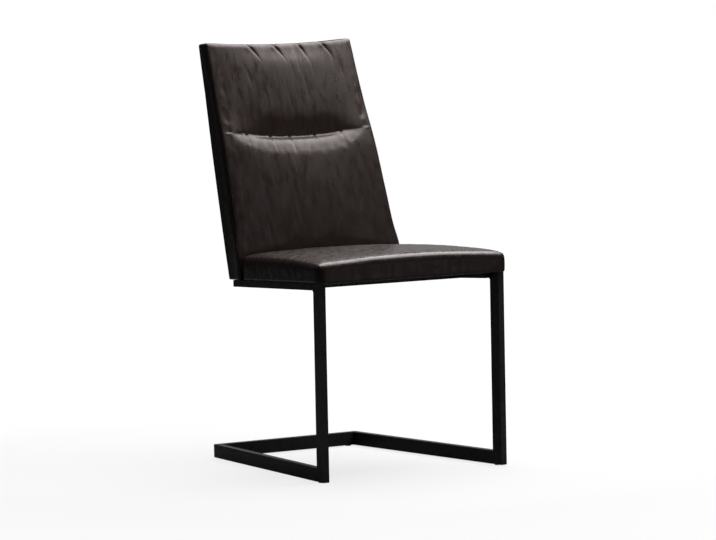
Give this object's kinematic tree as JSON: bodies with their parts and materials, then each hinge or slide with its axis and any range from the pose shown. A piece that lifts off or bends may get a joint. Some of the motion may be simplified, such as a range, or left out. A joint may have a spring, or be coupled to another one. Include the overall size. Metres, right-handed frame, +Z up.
{
  "type": "cantilever dining chair",
  "caption": "Cantilever dining chair with a flat-tube steel floor frame, a padded leather seat and a tall reclined padded leather back with a curved sewn channel.",
  "frame": {"origin": "middle of the chair's footprint box, on the floor", "axes": "+Z up, the seat's front faces -Y, +X across the chair"},
  "size_m": [0.4846, 0.5914, 0.9406],
  "materials": {
    "frame_steel": "near-black powder coat, satin",
    "hidden_steel": "primed steel",
    "cap_plastic": "moulded plastic, matt",
    "leather_brown": "dark brown semi-gloss leather with a fine grain",
    "foam": "upholstery foam",
    "plywood": "birch plywood",
    "lining_cloth": "black spun lining cloth",
    "zinc_steel": "zinc-plated steel"
  },
  "bodies": {
    "root": {"left_front_leg": "frame_steel", "right_front_leg": "frame_steel", "left_floor_runner": "frame_steel", "right_floor_runner": "frame_steel", "rear_floor_bar": "frame_steel", "left_seat_rail": "frame_steel", "right_seat_rail": "frame_steel", "left_rail_front_plate": "frame_steel", "right_rail_front_plate": "frame_steel", "front_seat_cross_tube": "frame_steel", "rear_seat_cross_tube": "frame_steel", "frame_welds": "frame_steel", "left_back_upright": "hidden_steel", "right_back_upright": "hidden_steel", "lower_back_cross_tube": "hidden_steel", "upper_back_cross_tube": "hidden_steel", "left_leg_cap": "cap_plastic", "right_leg_cap": "cap_plastic", "left_rail_rear_cap": "cap_plastic", "right_rail_rear_cap": "cap_plastic", "floor_glides": "cap_plastic", "seat_board": "plywood", "seat_foam": "foam", "seat_cover_top": "leather_brown", "seat_cover_left_side": "leather_brown", "seat_cover_right_side": "leather_brown", "seat_cover_rear": "leather_brown", "seat_dust_cover": "lining_cloth", "seat_spacers": "cap_plastic", "seat_bolts": "zinc_steel", "seat_washers": "zinc_steel", "seat_tee_nuts": "zinc_steel", "back_board": "plywood", "back_lower_foam": "foam", "back_upper_foam": "foam", "back_rear_foam": "foam", "back_cover_lower_front": "leather_brown", "back_cover_upper_front": "leather_brown", "back_cover_left_side": "leather_brown", "back_cover_right_side": "leather_brown", "back_cover_rear": "leather_brown", "back_bolts": "zinc_steel", "back_washers": "zinc_steel", "back_nuts": "zinc_steel", "seam_wire": "zinc_steel"}
  },
  "joints": []
}
